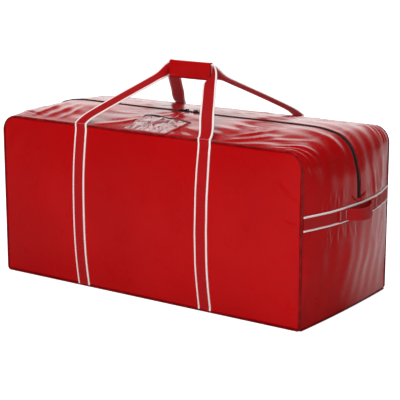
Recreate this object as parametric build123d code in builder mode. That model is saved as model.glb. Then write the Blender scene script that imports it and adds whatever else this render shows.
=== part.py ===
from build123d import *
from math import atan2, cos, degrees, hypot, radians, sin, sqrt
import os

# Hockey equipment bag: a boxy vinyl carry bag with a crowned lid that a zip parts along its middle.
# Millimetres. X runs along the bag, Y from its front (-Y) to its back, Z up from the ground.
# The left half of every end piece is the mirror image of the right half.

# ---- Driving dimensions: the shell --------------------------------------------------------------
LENGTH = 990.0            # between the two end seams
DEPTH = 457.0             # between the front and back faces
HEIGHT = 457.0            # ground to the top seams
CROWN = 24.0              # rise of the lid, and bulge of the ends, over their seams
WALL = 2.0                # vinyl with its backing
TOP_CORNER_R = 45.0       # where the lid strip turns down over the ends
BOTTOM_CORNER_R = 10.0
PIPING_R = 2.6            # covered cord in every seam
PIPING_SINK = 0.8         # cord centre inside the corner line of the shell
FIT_GAP = 0.3             # clearance between pieces that lie against each other
FLAP_END_INSET = 100.0    # the opening flaps stop this far from the end seams
FLAP_END_GAP = 0.5

# ---- Driving dimensions: the zip ----------------------------------------------------------------
ZIP_SLOT = 16.0           # between the facing edges of the two flaps
TAPE_WIDTH = 32.0
TAPE_T = 1.0
COIL_WIDTH = 6.0
COIL_PROUD = 0.2          # top of the coil over the vinyl
ZIP_END_Z = 300.0         # lower end of the chain on each end of the bag
SLIDER_LENGTH = 24.0
SLIDER_WIDTH = 12.0
SLIDER_PLATE_T = 1.6
SLIDER_X = 14.0           # each slider's centre when the zip is closed, nose to nose
SLIDER_AIR = 0.7          # slider plates over and under the chain
POST_LENGTH = 5.0
POST_WIDTH = 2.0
BAIL_LENGTH = 12.0
BAIL_WIDTH = 3.0
BAIL_WIRE = 1.6
BAIL_RISE = 4.6
PULL_PIN_R = 1.0
PULL_T = 1.6
PULL_ARM_WIDTH = 1.6
PULL_ARM_Y = 3.8
PULL_RING_R = 9.0
PULL_RING_HOLE_R = 5.5
PULL_REACH = 17.5         # pivot to the middle of the ring

# ---- Driving dimensions: webbing, grip and pockets ----------------------------------------------
WEB_WIDTH = 40.0
WEB_T = 2.4
STRAP_X = 205.0           # centre lines of the two carry straps
STRAP_TOP_DROP = 12.0     # the sewn strap stops this far under the top seam
GRIP_RISE = 142.0         # centre of the grip over the top seams
GRIP_LENGTH = 138.0
GRIP_MARGIN = 2.0         # of the grip over each edge of the webbing
GRIP_PAD_T = 4.0
WRAP_T = 2.0              # closing tab around the grip
TOUCH_STRIP_T = 0.8       # hook and loop strips
TOUCH_GAP = 0.5
WEB_ROOT = 8.0            # handle web starts this far from its hinge line
WEB_STRAIGHT_END = 45.0
WEB_TURN_SIDE = 23.0      # where the web starts to turn into the grip, outside its end
WEB_TURN_DROP = 35.0
BAND_Z = 277.0            # centre height of the webbing band across each end
BAND_HALF_SPAN = 222.0
LOOP_FREE = 65.0          # half the free span of the end grab loop
LOOP_SEWN = 100.0         # outer end of its sewn stretch
LOOP_BOW = 26.0           # how far its middle stands out
PATCH_WIDTH = 44.0
PATCH_HEIGHT = 46.0
PATCH_T = 1.6
ID_WIDTH = 146.0
ID_DEPTH = 110.0
ID_FRAME = 10.0
ID_T = 1.2
ID_WINDOW_T = 0.5
ID_BINDING = 4.0

# ---- Worked out from them -----------------------------------------------------------------------
CROWN_RADIUS = ((DEPTH / 2) ** 2 + CROWN**2) / (2 * CROWN)
SEAM_INSET = PIPING_SINK + PIPING_R + FIT_GAP     # panel edges, inside the corner lines
PLATE_EDGE_Y = DEPTH / 2 - SEAM_INSET
PIPING_Y = DEPTH / 2 - PIPING_SINK
HINGE_Z = HEIGHT - PIPING_SINK
CORNER_X = LENGTH / 2 - TOP_CORNER_R
CORNER_Z = HEIGHT - TOP_CORNER_R
FLAP_HALF = LENGTH / 2 - FLAP_END_INSET
GUSSET_X = FLAP_HALF + FLAP_END_GAP
TOP_Z = HEIGHT + CROWN
TAPE_TOP = -WALL - FIT_GAP                        # offsets from the crowned surface
TAPE_BOTTOM = TAPE_TOP - TAPE_T
GRIP_Z = HEIGHT + GRIP_RISE
GRIP_HEIGHT = WEB_WIDTH + 2 * GRIP_MARGIN
BAND_LOW = BAND_Z - WEB_WIDTH / 2
BAND_HIGH = BAND_Z + WEB_WIDTH / 2

ALONG_Y = Axis.Y.direction


# ---- Shared geometry ----------------------------------------------------------------------------
def crown_height(y, offset=0.0):
    """Height over the seams of the crowned surface, or of a surface offset outwards from it."""
    return CROWN - CROWN_RADIUS + sqrt((CROWN_RADIUS + offset) ** 2 - y**2)


def crown_band(y_start, y_end, inner, outer):
    """Edges of the band between two offsets of the crown; local x is Y and local y is the height."""
    y_middle = (y_start + y_end) / 2

    def on_crown(y, offset):
        return (y, crown_height(y, offset))

    with BuildLine() as outline:
        ThreePointArc(on_crown(y_start, outer), on_crown(y_middle, outer), on_crown(y_end, outer))
        Line(on_crown(y_end, outer), on_crown(y_end, inner))
        ThreePointArc(on_crown(y_end, inner), on_crown(y_middle, inner), on_crown(y_start, inner))
        Line(on_crown(y_start, inner), on_crown(y_start, outer))
    return outline.edges()


def lid_plane(x):
    """Cross-section plane of the lid at x; what is extruded from it grows towards +X."""
    return Plane(origin=(x, 0, HEIGHT), x_dir=(0, 1, 0), z_dir=(1, 0, 0))


def end_plane(z):
    """Horizontal section of the right end at height z; what is extruded from it grows downwards."""
    return Plane(origin=(LENGTH / 2, 0, z), x_dir=(0, 1, 0), z_dir=(0, 0, -1))


def face_plane(y):
    """Upright plane along the bag, facing the front; what is extruded from it grows towards -Y."""
    return Plane(origin=(0, y, 0), x_dir=(1, 0, 0), z_dir=(0, -1, 0))


def panel_outline(inset):
    """Front outline of the shell drawn in by inset: large radii on top and small ones below."""
    low = PIPING_R - PIPING_SINK + inset
    high = HEIGHT - inset
    with BuildSketch() as outline:
        with Locations((0, (low + high) / 2)):
            Rectangle(LENGTH - 2 * inset, high - low)
        fillet(outline.vertices().group_by(Axis.Y)[-1], TOP_CORNER_R - inset)
        fillet(outline.vertices().group_by(Axis.Y)[0], BOTTOM_CORNER_R - inset)
    return outline.sketch


def end_strip(bands, lowest_z):
    """Strip that runs along the lid from the flap's end, over the top corner and down to lowest_z.

    bands lists its cross-section as (y_start, y_end, inner offset, outer offset).
    """
    corner_axis = Axis((CORNER_X, 0, CORNER_Z), ALONG_Y)
    with BuildPart() as strip:
        for start_plane in (lid_plane(GUSSET_X), lid_plane(CORNER_X), end_plane(CORNER_Z)):
            with BuildSketch(start_plane) as section:
                for band in bands:
                    make_face(crown_band(*band))
            if start_plane.origin.X < CORNER_X - FIT_GAP:
                extrude(amount=CORNER_X - GUSSET_X)
            elif start_plane.origin.Z > CORNER_Z + FIT_GAP:
                revolve(axis=corner_axis, revolution_arc=90)
            else:
                extrude(amount=CORNER_Z - lowest_z)
    return strip.part


def cord_along(path):
    """Piping cord along an edge or a closed wire."""
    with BuildPart() as cord:
        with BuildSketch(Plane(origin=path @ 0, z_dir=path % 0)):
            Circle(PIPING_R)
        sweep(path=path)
    return cord.part


def save(part, name):
    part.label = name
    export_step(part, f"parts/{name}.step")


def save_pair(part, name, plane, first, second):
    """A piece and its mirror image, named for the two sides."""
    save(part, f"{name}_{first}")
    save(mirror(part, about=plane), f"{name}_{second}")


os.makedirs("parts", exist_ok=True)


# ---- Shell: front, back, base and lower ends ----------------------------------------------------
with BuildPart() as front_panel:
    with BuildSketch(face_plane(WALL - DEPTH / 2)):
        add(panel_outline(SEAM_INSET))
    extrude(amount=WALL)
save(front_panel.part, "front_panel")
save(mirror(front_panel.part, about=Plane.XZ), "back_panel")

with BuildPart() as base_panel:
    end_x = LENGTH / 2 + crown_height(PLATE_EDGE_Y, -SEAM_INSET)
    middle_x = LENGTH / 2 + crown_height(0, -SEAM_INSET)
    with BuildSketch():
        with BuildLine():
            Line((-end_x, -PLATE_EDGE_Y), (end_x, -PLATE_EDGE_Y))
            ThreePointArc((end_x, -PLATE_EDGE_Y), (middle_x, 0), (end_x, PLATE_EDGE_Y))
            Line((end_x, PLATE_EDGE_Y), (-end_x, PLATE_EDGE_Y))
            ThreePointArc((-end_x, PLATE_EDGE_Y), (-middle_x, 0), (-end_x, -PLATE_EDGE_Y))
        make_face()
    extrude(amount=WALL)
save(base_panel.part, "base_panel")

with BuildPart() as end_panel:
    end_top = BAND_Z - FIT_GAP / 2
    end_low = 2 * PIPING_R + FIT_GAP
    with BuildSketch(end_plane(end_top)):
        make_face(crown_band(-PLATE_EDGE_Y, PLATE_EDGE_Y, -WALL, 0))
    extrude(amount=end_top - end_low)
save_pair(end_panel.part, "end_panel", Plane.YZ, "right", "left")

# Upper ends: four gussets that carry the lid strip round the corner, parted by the zip
end_gusset = end_strip([(-PLATE_EDGE_Y, -ZIP_SLOT / 2, -WALL, 0)], BAND_Z + FIT_GAP / 2)
save_pair(end_gusset, "end_gusset_front", Plane.YZ, "right", "left")
save_pair(mirror(end_gusset, about=Plane.XZ), "end_gusset_back", Plane.YZ, "right", "left")

# ---- Seam piping --------------------------------------------------------------------------------
piping_path = face_plane(-PIPING_Y) * panel_outline(PIPING_SINK).face().outer_wire()
front_seam_piping = cord_along(piping_path)
save(front_seam_piping, "front_seam_piping")
save(mirror(front_seam_piping, about=Plane.XZ), "back_seam_piping")

with BuildLine(Plane.XY.offset(PIPING_R)) as base_seam:
    seam_end_y = PLATE_EDGE_Y - PIPING_R / 2
    seam_end_x = LENGTH / 2 + crown_height(seam_end_y, -PIPING_SINK)
    seam_middle_x = LENGTH / 2 + crown_height(0, -PIPING_SINK)
    ThreePointArc((seam_end_x, -seam_end_y), (seam_middle_x, 0), (seam_end_x, seam_end_y))
save_pair(cord_along(base_seam.edge()), "base_end_piping", Plane.YZ, "right", "left")

# ---- Lid flaps ----------------------------------------------------------------------------------
with BuildPart() as top_flap_front:
    with BuildSketch(lid_plane(-FLAP_HALF)):
        make_face(crown_band(-PLATE_EDGE_Y, -ZIP_SLOT / 2, -WALL, 0))
    extrude(amount=2 * FLAP_HALF)
save(top_flap_front.part, "top_flap_front")
save(mirror(top_flap_front.part, about=Plane.XZ), "top_flap_back")

# ---- Zip chain: a tape with half the coil on each flap, and one closed length over each end -----
with BuildPart() as zip_chain_front:
    with BuildSketch(lid_plane(-FLAP_HALF)):
        make_face(crown_band(-TAPE_WIDTH / 2, -FIT_GAP / 2, TAPE_BOTTOM, TAPE_TOP))
        make_face(crown_band(-COIL_WIDTH / 2, -FIT_GAP / 2, TAPE_TOP, COIL_PROUD))
    extrude(amount=2 * FLAP_HALF)
    # the coil spreads round the post of each slider
    with Locations((-SLIDER_X, 0, TOP_Z), (SLIDER_X, 0, TOP_Z)):
        Box(
            POST_LENGTH + 2 * FIT_GAP,
            POST_WIDTH + 2 * FIT_GAP,
            4 * WALL + 2 * TAPE_T,
            mode=Mode.SUBTRACT,
        )
save(zip_chain_front.part, "zip_chain_front")
save(mirror(zip_chain_front.part, about=Plane.XZ), "zip_chain_back")

zip_end_chain = end_strip(
    [
        (-TAPE_WIDTH / 2, TAPE_WIDTH / 2, TAPE_BOTTOM, TAPE_TOP),
        (-COIL_WIDTH / 2, COIL_WIDTH / 2, TAPE_TOP, COIL_PROUD),
    ],
    ZIP_END_Z,
)
save_pair(zip_end_chain, "zip_end_chain", Plane.YZ, "right", "left")

# ---- Zip sliders and pulls ----------------------------------------------------------------------
slider_low = TOP_Z + TAPE_BOTTOM - SLIDER_AIR - SLIDER_PLATE_T
slider_top = TOP_Z + COIL_PROUD + SLIDER_AIR + SLIDER_PLATE_T
pivot_z = slider_top + (BAIL_RISE - BAIL_WIRE) / 2

with BuildPart() as zip_slider:
    for plate_z in (slider_low, slider_top - SLIDER_PLATE_T):
        with BuildSketch(Plane.XY.offset(plate_z)) as plate:
            with Locations((SLIDER_X, 0)):
                Rectangle(SLIDER_LENGTH, SLIDER_WIDTH)
            fillet(plate.vertices().group_by(Axis.X)[-1], SLIDER_WIDTH / 3)
        extrude(amount=SLIDER_PLATE_T)
    with BuildSketch(Plane.XY.offset(slider_low)):
        with Locations((SLIDER_X, 0)):
            Ellipse(POST_LENGTH / 2, POST_WIDTH / 2)
    extrude(amount=slider_top - slider_low)
    # bail: a low arch that holds the pull
    with BuildSketch(face_plane(BAIL_WIDTH / 2)) as bail:
        with Locations((SLIDER_X, slider_top)):
            Rectangle(BAIL_LENGTH, BAIL_RISE, align=(Align.CENTER, Align.MIN))
        fillet(bail.vertices().group_by(Axis.Y)[-1], BAIL_WIRE)
        with Locations((SLIDER_X, slider_top)):
            Rectangle(
                BAIL_LENGTH - 2 * BAIL_WIRE,
                BAIL_RISE - BAIL_WIRE,
                align=(Align.CENTER, Align.MIN),
                mode=Mode.SUBTRACT,
            )
    extrude(amount=BAIL_WIDTH)
save_pair(zip_slider.part, "zip_slider", Plane.YZ, "right", "left")

with BuildPart() as zip_pull:
    with BuildSketch(Plane.XZ.offset(-PULL_ARM_Y)):
        with Locations((SLIDER_X, pivot_z)):
            Circle(PULL_PIN_R)
    extrude(amount=2 * PULL_ARM_Y)
    with BuildSketch(Plane.XY.offset(pivot_z - PULL_T / 2)):
        ring_gap_x = PULL_REACH - PULL_RING_R * cos(radians(25))
        for side in (-1, 1):
            with Locations((SLIDER_X - PULL_PIN_R, side * PULL_ARM_Y)):
                Rectangle(
                    ring_gap_x + 2 * PULL_PIN_R, PULL_ARM_WIDTH, align=(Align.MIN, Align.CENTER)
                )
        with Locations((SLIDER_X + PULL_REACH, 0)):
            Circle(PULL_RING_R)
            Circle(PULL_RING_HOLE_R, mode=Mode.SUBTRACT)
    extrude(amount=PULL_T)
save_pair(zip_pull.part, "zip_pull", Plane.YZ, "right", "left")

# ---- Webbing band, grab loop and zip patch on each end ------------------------------------------
with BuildPart() as end_band:
    with BuildSketch(end_plane(BAND_HIGH)):
        make_face(crown_band(-BAND_HALF_SPAN, BAND_HALF_SPAN, FIT_GAP, FIT_GAP + WEB_T))
    extrude(amount=WEB_WIDTH)
save_pair(end_band.part, "end_band", Plane.YZ, "right", "left")

loop_inner = 2 * FIT_GAP + WEB_T
loop_outer = loop_inner + WEB_T
with BuildPart() as end_loop:
    with BuildSketch(end_plane(BAND_HIGH)):
        for side in (-1, 1):
            ends = sorted((side * LOOP_SEWN, side * (LOOP_FREE - WEB_T)))
            make_face(crown_band(*ends, loop_inner, loop_outer))
        with BuildLine():
            foot = crown_height(LOOP_FREE, loop_inner)
            ThreePointArc((-LOOP_FREE, foot), (0, foot + LOOP_BOW), (LOOP_FREE, foot))
            Line((LOOP_FREE, foot), (LOOP_FREE, foot + WEB_T))
            ThreePointArc(
                (LOOP_FREE, foot + WEB_T), (0, foot + LOOP_BOW + WEB_T), (-LOOP_FREE, foot + WEB_T)
            )
            Line((-LOOP_FREE, foot + WEB_T), (-LOOP_FREE, foot))
        make_face()
    extrude(amount=WEB_WIDTH)
save_pair(end_loop.part, "end_loop", Plane.YZ, "right", "left")

with BuildPart() as zip_end_patch:
    with BuildSketch(end_plane(BAND_HIGH + FIT_GAP + PATCH_HEIGHT)):
        patch_inner = COIL_PROUD + FIT_GAP
        make_face(crown_band(-PATCH_WIDTH / 2, PATCH_WIDTH / 2, patch_inner, patch_inner + PATCH_T))
    extrude(amount=PATCH_HEIGHT)
save_pair(zip_end_patch.part, "zip_end_patch", Plane.YZ, "right", "left")

# ---- Sewn carry straps on the front and back ----------------------------------------------------
with BuildPart() as sewn_strap:
    strap_low = 2 * PIPING_R + FIT_GAP
    strap_high = HEIGHT - STRAP_TOP_DROP
    with BuildSketch(face_plane(-DEPTH / 2)):
        with Locations((STRAP_X, strap_low)):
            Rectangle(WEB_WIDTH, strap_high - strap_low, align=(Align.CENTER, Align.MIN))
    extrude(amount=WEB_T)
save_pair(sewn_strap.part, "front_strap", Plane.YZ, "right", "left")
save_pair(mirror(sewn_strap.part, about=Plane.XZ), "back_strap", Plane.YZ, "right", "left")

# ---- Carry handles ------------------------------------------------------------------------------
# Each handle's web leans in a plane through its hinge line, from the strap up to the grip, and
# turns on edge there. The grip bars lie back to back on the bag's centre plane.
bar_y = -(FIT_GAP + WEB_T / 2)
lean = atan2(GRIP_Z - HINGE_Z, bar_y + PIPING_Y)
bar_reach = hypot(GRIP_Z - HINGE_Z, bar_y + PIPING_Y)
up_web = Vector(0, cos(lean), sin(lean))
hinge_line = Vector(0, -PIPING_Y, HINGE_Z)
turn_x = GRIP_LENGTH / 2 + WEB_TURN_SIDE
turn_reach = bar_reach - WEB_TURN_DROP
side_turn = atan2(STRAP_X - turn_x, turn_reach - WEB_STRAIGHT_END)


def web_section(x, reach, turn):
    """Cross-section plane of the right leg: x along the bag, reach up the web, turned inwards."""
    across = Vector(cos(turn), 0, 0) + up_web * sin(turn)
    ahead = up_web * cos(turn) - Vector(sin(turn), 0, 0)
    return Plane(origin=Vector(x, 0, 0) + hinge_line + up_web * reach, x_dir=across, z_dir=ahead)


with BuildPart() as front_handle_web:
    grip_end = Plane(origin=(GRIP_LENGTH / 2, bar_y, GRIP_Z), x_dir=(0, 0, 1), z_dir=(-1, 0, 0))
    leg_sections = (
        web_section(STRAP_X, WEB_ROOT, 0),
        web_section(STRAP_X, WEB_STRAIGHT_END, 0),
        web_section(turn_x, turn_reach, side_turn),
        grip_end,
    )
    for section_plane in leg_sections:
        with BuildSketch(section_plane):
            Rectangle(WEB_WIDTH, WEB_T)
    loft(ruled=True)
    mirror(about=Plane.YZ)
    with BuildSketch(grip_end):
        Rectangle(WEB_WIDTH, WEB_T)
    extrude(amount=GRIP_LENGTH)
save(front_handle_web.part, "front_handle_web")
save(mirror(front_handle_web.part, about=Plane.XZ), "back_handle_web")

# ---- Grip: a pad on the front bar, and the tab that closes round both bars ----------------------
pad_back_y = -(WEB_T + 2 * FIT_GAP)
pad_front_y = pad_back_y - GRIP_PAD_T
grip_low = GRIP_Z - GRIP_HEIGHT / 2
grip_high = GRIP_Z + GRIP_HEIGHT / 2
tab_top = grip_high + FIT_GAP + WRAP_T
tab_back_y = WEB_T + 2 * FIT_GAP + WRAP_T
tab_low = grip_low - 2 * TOUCH_STRIP_T - TOUCH_GAP - WRAP_T


def grip_block(y_from, y_to, z_from, z_to, end_inset=0.0):
    """Block of the grip's length between two Y and two Z values."""
    with BuildPart() as block:
        with BuildSketch(Plane.YZ.offset(end_inset - GRIP_LENGTH / 2)):
            with Locations((y_from, z_from)):
                Rectangle(y_to - y_from, z_to - z_from, align=(Align.MIN, Align.MIN))
        extrude(amount=GRIP_LENGTH - 2 * end_inset)
    return block.part


with BuildPart() as grip_pad:
    add(grip_block(pad_front_y, pad_back_y, grip_low, grip_high))
    fillet(grip_pad.edges().filter_by(Axis.X).group_by(Axis.Y)[0], GRIP_PAD_T / 3)
save(grip_pad.part, "grip_pad")

with BuildPart() as grip_tab:
    with BuildSketch(Plane.YZ.offset(-GRIP_LENGTH / 2)):
        with BuildLine():
            rise = WRAP_T / 2
            FilletPolyline(
                (pad_front_y, tab_top - rise),
                (tab_back_y - rise, tab_top - rise),
                (tab_back_y - rise, tab_low + rise),
                (pad_front_y, tab_low + rise),
                radius=WRAP_T,
            )
        trace(line_width=WRAP_T)
    extrude(amount=GRIP_LENGTH)
save(grip_tab.part, "grip_tab")

save(
    grip_block(pad_front_y, pad_back_y, grip_low - TOUCH_STRIP_T, grip_low, GRIP_PAD_T),
    "grip_loop_strip",
)
save(
    grip_block(
        pad_front_y, pad_back_y, tab_low + WRAP_T, tab_low + WRAP_T + TOUCH_STRIP_T, GRIP_PAD_T
    ),
    "grip_hook_strip",
)

# ---- Name card pocket on the front flap: frame, clear window and bound mouth --------------------
id_front_y = -PLATE_EDGE_Y + FIT_GAP
id_mouth_y = id_front_y + ID_DEPTH
window_front_y = id_front_y + ID_FRAME
window_width = ID_WIDTH - 2 * ID_FRAME


def pocket_layer(width, y_from, y_to, low, high):
    """Layer of the pocket that follows the crown of the flap."""
    with BuildPart() as layer:
        with BuildSketch(lid_plane(-width / 2)):
            make_face(crown_band(y_from, y_to, low, high))
        extrude(amount=width)
    return layer.part


with BuildPart() as id_frame:
    add(pocket_layer(ID_WIDTH, id_front_y, id_mouth_y, FIT_GAP, FIT_GAP + ID_T))
    add(
        pocket_layer(window_width, window_front_y, id_mouth_y + FIT_GAP, 0, 2 * ID_T),
        mode=Mode.SUBTRACT,
    )
save(id_frame.part, "id_frame")

id_window = pocket_layer(
    window_width - 2 * FIT_GAP,
    window_front_y + FIT_GAP,
    id_mouth_y - FIT_GAP,
    2 * FIT_GAP,
    2 * FIT_GAP + ID_WINDOW_T,
)
save(id_window, "id_window")
id_binding = pocket_layer(ID_WIDTH, id_mouth_y, id_mouth_y + ID_BINDING, FIT_GAP, FIT_GAP + ID_T)
save(id_binding, "id_binding")
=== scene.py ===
from math import atan2, cos, hypot, pi, radians, sin

import bpy
import numpy as np
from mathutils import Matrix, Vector


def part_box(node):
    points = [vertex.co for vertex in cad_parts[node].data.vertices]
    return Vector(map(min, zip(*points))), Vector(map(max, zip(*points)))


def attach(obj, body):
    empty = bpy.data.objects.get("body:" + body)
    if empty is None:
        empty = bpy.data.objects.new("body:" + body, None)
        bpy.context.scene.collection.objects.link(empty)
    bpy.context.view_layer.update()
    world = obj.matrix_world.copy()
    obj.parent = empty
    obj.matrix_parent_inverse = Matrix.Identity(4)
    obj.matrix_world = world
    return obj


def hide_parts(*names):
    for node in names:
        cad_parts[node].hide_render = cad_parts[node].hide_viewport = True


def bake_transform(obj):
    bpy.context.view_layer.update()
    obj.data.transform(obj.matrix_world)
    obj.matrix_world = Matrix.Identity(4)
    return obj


# Hockey equipment bag. Metres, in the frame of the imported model: X along the bag, front at -Y.
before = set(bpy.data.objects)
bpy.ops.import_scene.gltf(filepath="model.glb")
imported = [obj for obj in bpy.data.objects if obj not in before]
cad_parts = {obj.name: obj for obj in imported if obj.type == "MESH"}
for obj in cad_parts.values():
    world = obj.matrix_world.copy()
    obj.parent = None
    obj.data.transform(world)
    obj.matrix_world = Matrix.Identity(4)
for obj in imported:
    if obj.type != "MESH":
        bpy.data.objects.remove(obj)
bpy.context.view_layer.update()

# ---- Sizes read from the frame ----
panel_low, panel_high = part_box("front_panel")
flap_low, flap_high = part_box("top_flap_front")
piping_low, piping_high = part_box("front_seam_piping")
band_low, band_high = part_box("end_band_right")
strap_low, strap_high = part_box("front_strap_right")
grip_low, grip_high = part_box("grip_pad")
web_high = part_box("front_handle_web")[1]
id_low, id_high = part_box("id_frame")
window_low, window_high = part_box("id_window")

WALL = panel_high.y - panel_low.y
FACE_Y = -panel_low.y
EDGE_Y = -flap_low.y
ZIP_EDGE = -flap_high.y
PIPING_R = (piping_high.y - piping_low.y) / 2
PIPING_SINK = 0.0008
HALF_LENGTH = piping_high.x - PIPING_R + PIPING_SINK
HEIGHT = piping_high.z - PIPING_R + PIPING_SINK
HINGE = Vector((0, -FACE_Y + PIPING_SINK, HEIGHT - PIPING_SINK))
CROWN = 0.024  # height of the lid, and depth of the ends, over their seams
BASE_CROWN = 0.25  # share of the ends' crown that is left at the base
CROWN_RADIUS = (FACE_Y**2 + CROWN**2) / (2 * CROWN)
TOP_R = 0.045  # turn from the lid into the ends
CORNER_X = HALF_LENGTH - TOP_R
CORNER_Z = HEIGHT - TOP_R
WEB_WIDTH = band_high.z - band_low.z
WEB_T = 0.0024
STRAP_X = (strap_low.x + strap_high.x) / 2
BAND_Z = (band_low.z + band_high.z) / 2

# Places along the lid-and-ends strip, measured from the middle of the lid.
S_CORNER_END = CORNER_X + TOP_R * pi / 2
S_BAND = S_CORNER_END + CORNER_Z - BAND_Z
S_END = S_CORNER_END + CORNER_Z - panel_low.z

# The four quarters of the bag: right and left in X, front (-1) and back (1) in Y.
SIDES = ((1, -1), (-1, -1), (1, 1), (-1, 1))


# ---- Node trees ----
class Nodes:
    """The nodes of a material or world: each call adds one and returns one of its outputs."""

    def __init__(self, owner):
        owner.use_nodes = True
        self.owner = owner
        self.tree = owner.node_tree

    def add(self, kind, inputs=(), **settings):
        """Adds a node; its inputs, by name or number, are values or outputs of other nodes."""
        node = self.tree.nodes.new(kind)
        for name, value in settings.items():
            setattr(node, name, value)
        for name, value in dict(inputs).items():
            self.put(value, node.inputs[name])
        return node

    def put(self, value, socket):
        if isinstance(value, bpy.types.NodeSocket):
            self.tree.links.new(value, socket)
        else:
            socket.default_value = value

    def maths(self, operation, a, b=0.0):
        return self.add("ShaderNodeMath", {0: a, 1: b}, operation=operation).outputs[0]

    def vector_maths(self, operation, a, b=(0, 0, 0)):
        return self.add("ShaderNodeVectorMath", {0: a, 1: b}, operation=operation).outputs

    def ramp(self, value, low, high, to_low=0.0, to_high=1.0):
        inputs = {"Value": value, "From Min": low, "From Max": high, "To Min": to_low,
                  "To Max": to_high}
        node = self.add("ShaderNodeMapRange", inputs, interpolation_type="SMOOTHSTEP")
        return node.outputs["Result"]

    def axis(self, vector, index):
        return self.add("ShaderNodeSeparateXYZ", {0: vector}).outputs[index]

    def backdrop(self, direction, centre, edges, levels):
        """Brightness a reflection finds in a direction: a bright backdrop about a centre."""
        nearness = self.vector_maths("DOT_PRODUCT", direction, centre)["Value"]
        return self.ramp(nearness, *edges, *levels)


class Finish(Nodes):
    """A material, with its object coordinates in metres and its UVs."""

    def __init__(self, name):
        super().__init__(bpy.data.materials.new(name))
        self.shader = self.tree.nodes["Principled BSDF"]
        self.place = self.add("ShaderNodeTexCoord").outputs["Object"]
        self.uv = self.add("ShaderNodeUVMap").outputs["UV"]

    def noise(self, scale, detail=3.0, roughness=0.5, stretch=(1, 1, 1), distortion=0.0):
        mapping = self.add("ShaderNodeMapping", {"Scale": stretch, "Vector": self.place})
        inputs = {"Vector": mapping.outputs["Vector"], "Scale": scale, "Detail": detail,
                  "Roughness": roughness, "Distortion": distortion}
        return self.add("ShaderNodeTexNoise", inputs).outputs["Fac"]

    def wave(self, scale, axis):
        inputs = {"Vector": self.place, "Scale": scale}
        return self.add("ShaderNodeTexWave", inputs, bands_direction=axis).outputs["Fac"]

    def mix(self, factor, a, b):
        inputs = {"Factor": factor, "A": a, "B": b}
        return self.add("ShaderNodeMix", inputs, data_type="RGBA").outputs["Result"]

    def bump(self, height, distance, strength, under=None):
        inputs = {"Height": height, "Distance": distance, "Strength": strength}
        if under is not None:
            inputs["Normal"] = under
        return self.add("ShaderNodeBump", inputs).outputs["Normal"]

    def finish(self, color, roughness, normal=None, **sockets):
        sockets.update(Base_Color=color, Roughness=roughness)
        if normal is not None:
            sockets["Normal"] = normal
        for name, value in sockets.items():
            self.put(value, self.shader.inputs[name.replace("_", " ")])
        return self.owner


def grey(value):
    return (value, value, value, 1)


def darker(color, share):
    return (*(c * share for c in color[:3]), 1)


def vinyl(name, deep, bright, roughness=0.3, wrinkle=0.0016):
    """Glossy coated vinyl: mottled colour, soft waves that break up its reflections, fine grain."""
    n = Finish(name)
    patches = n.ramp(n.noise(3.2, 3), 0.3, 0.7)
    color = n.mix(patches, deep, bright)
    rough = n.ramp(n.noise(14, 4), 0.25, 0.75, roughness - 0.06, roughness + 0.08)
    waves = n.bump(n.noise(11, 2, 0.4), wrinkle * 4, 0.4)
    creases = n.bump(n.noise(42, 2, 0.4), wrinkle, 0.3, waves)
    grain = n.bump(n.noise(900, 2), 0.00012, 0.5, creases)
    shine = {"Specular_IOR_Level": 0.06, "Coat_Weight": 1.0, "Coat_Roughness": 0.18}
    return n.finish(color, rough, grain, **shine)


STRIPE_SHARE = 0.11
RIB_PITCH = 0.0017
RIB_ROWS = 15


def webbing(name, base, stripe):
    """Woven webbing: u runs across it from 0 to 1 and v along it in metres."""
    n = Finish(name)
    across = n.axis(n.uv, 0)
    along = n.axis(n.uv, 1)
    from_edge = n.maths("MINIMUM", across, n.maths("SUBTRACT", 1.0, across))
    inside = n.ramp(from_edge, STRIPE_SHARE, STRIPE_SHARE + 0.02)
    red = n.mix(n.noise(60, 3), base, darker(base, 0.75))
    color = n.mix(inside, stripe, red)
    ribs = n.maths("SINE", n.maths("MULTIPLY", along, 2 * pi / RIB_PITCH))
    rows = n.maths("SINE", n.maths("MULTIPLY", across, 2 * pi * RIB_ROWS))
    weave = n.maths("ADD", n.maths("MULTIPLY", ribs, rows), n.maths("MULTIPLY", rows, 0.6))
    # Painted shade: the colour darkens in the hollows of the weave.
    color = n.mix(n.ramp(weave, -1.2, 0.4, 0.35, 0.0), color, darker(base, 0.45))
    normal = n.bump(weave, 0.00025, 0.6, n.bump(n.noise(30, 3), 0.0012, 0.5))
    shine = {"Specular_IOR_Level": 0.25, "Sheen_Weight": 0.03, "Sheen_Roughness": 0.4}
    return n.finish(color, 0.55, normal, **shine)


def zip_coil():
    n = Finish("zip_coil_black")
    color = n.mix(n.noise(300, 2), grey(0.008), grey(0.022))
    return n.finish(color, n.ramp(n.noise(90, 2), 0.3, 0.7, 0.3, 0.45))


def zip_tape():
    n = Finish("zip_tape_black")
    ribs = n.wave(420, "Y")
    fine = n.wave(700, "X")
    # Painted shade: the colour is darker in the ribs' hollows and lighter on their crests.
    color = n.mix(ribs, grey(0.006), grey(0.02))
    return n.finish(color, 0.7, n.bump(n.maths("ADD", ribs, fine), 0.0002, 0.6), Sheen_Weight=0.2)


def black_metal():
    n = Finish("slider_black")
    rubbed = n.ramp(n.noise(260, 4, 0.7), 0.58, 0.75)
    color = n.mix(rubbed, grey(0.012), grey(0.07))
    rough = n.ramp(n.noise(120, 3), 0.3, 0.7, 0.25, 0.45)
    return n.finish(color, rough, n.bump(n.noise(400, 2), 0.00006, 0.4), Metallic=0.4)


def piping():
    n = Finish("piping_dark_red")
    patches = n.ramp(n.noise(40, 3), 0.35, 0.65)
    color = n.mix(patches, (0.14, 0.0, 0.002, 1), (0.26, 0.001, 0.003, 1))
    return n.finish(color, 0.35, n.bump(n.noise(160, 3), 0.0006, 0.7), Coat_Weight=0.3)


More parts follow.
